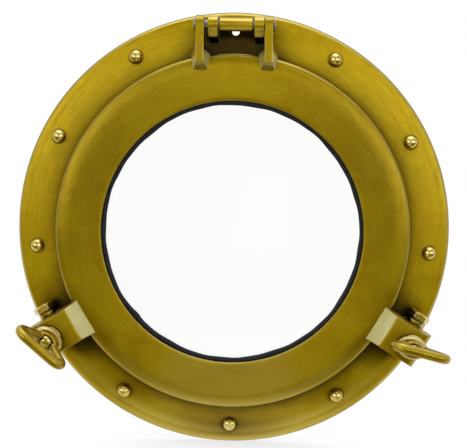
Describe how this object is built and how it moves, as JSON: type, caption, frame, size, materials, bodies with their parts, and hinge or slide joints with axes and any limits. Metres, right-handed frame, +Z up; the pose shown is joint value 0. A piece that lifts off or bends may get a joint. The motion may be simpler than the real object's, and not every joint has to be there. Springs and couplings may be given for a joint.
{
  "type": "opening porthole",
  "caption": "Round brass opening porthole: a flange ring and a glazed door hinged at the top, held shut by swing bolts with eye nuts.",
  "frame": {"origin": "lowest point of the flat back rim of the flange, 150 mm under the porthole's axis and in the plane that rests on the wall", "axes": "+Z up towards the hinge, -Y towards the viewer's side, +X to the right seen from there"},
  "size_m": [0.3048, 0.0731, 0.3048],
  "materials": {
    "cast_brass": "brushed, slightly darkened",
    "polished_brass": "polished",
    "steel": "bright",
    "rubber": "matt black",
    "pane": "clear"
  },
  "bodies": {
    "ring": {"mounting_ring": "cast_brass", "hinge_spacer": "cast_brass", "hinge_pin": "steel", "hinge_pin_collar": "steel", "left_pivot_bolt": "polished_brass", "right_pivot_bolt": "polished_brass", "left_pivot_collar": "cast_brass", "right_pivot_collar": "cast_brass", "rivet_01": "polished_brass", "rivet_02": "polished_brass", "rivet_03": "polished_brass", "rivet_04": "polished_brass", "rivet_05": "polished_brass", "rivet_06": "polished_brass", "rivet_07": "polished_brass", "rivet_08": "polished_brass", "rivet_09": "polished_brass"},
    "door": {"door_frame": "cast_brass", "glass_pane": "pane", "glazing_gasket": "rubber", "glass_retaining_ring": "cast_brass", "door_seal": "rubber", "retaining_screw_1": "steel", "retaining_screw_2": "steel", "retaining_screw_3": "steel", "retaining_screw_4": "steel", "retaining_screw_5": "steel", "retaining_screw_6": "steel"},
    "left_bolt": {"left_swing_bolt": "polished_brass"},
    "left_thread_follower": {"left_washer": "polished_brass"},
    "left_nut": {"left_eye_nut": "cast_brass"},
    "right_bolt": {"right_swing_bolt": "polished_brass"},
    "right_thread_follower": {"right_washer": "polished_brass"},
    "right_nut": {"right_eye_nut": "cast_brass"}
  },
  "joints": [
    {"name": "door_hinge", "type": "hinge", "parent": "ring", "child": "door", "pos_m": [0, -0.0258, 0.2926], "axis": [-1, 0, 0], "range_deg": [0, 115]},
    {"name": "left_dog_swing", "type": "hinge", "parent": "ring", "child": "left_bolt", "pos_m": [-0.12172, -0.0162, 0.07687], "axis": [0.515, 0, -0.8572], "range_deg": [0, 75]},
    {"name": "left_nut_travel", "type": "slide", "parent": "left_bolt", "child": "left_thread_follower", "axis": [0, -1, 0], "range_m": [-0.00265, 0.00455]},
    {"name": "left_nut_spin", "type": "hinge", "parent": "left_thread_follower", "child": "left_nut", "pos_m": [-0.12515, -0.04, 0.0748], "axis": [0, -1, 0], "range_deg": [-630, 1080]},
    {"name": "right_dog_swing", "type": "hinge", "parent": "ring", "child": "right_bolt", "pos_m": [0.12172, -0.0162, 0.07687], "axis": [0.515, 0, 0.8572], "range_deg": [0, 75]},
    {"name": "right_nut_travel", "type": "slide", "parent": "right_bolt", "child": "right_thread_follower", "axis": [0, -1, 0], "range_m": [-0.00265, 0.00455]},
    {"name": "right_nut_spin", "type": "hinge", "parent": "right_thread_follower", "child": "right_nut", "pos_m": [0.12515, -0.04, 0.0748], "axis": [0, -1, 0], "range_deg": [-630, 1080]}
  ],
  "couplings": [
    {"joint": "left_nut_travel", "follows": "left_nut_spin", "m_per_rad": 0.00023873},
    {"joint": "right_nut_travel", "follows": "right_nut_spin", "m_per_rad": 0.00023873}
  ]
}
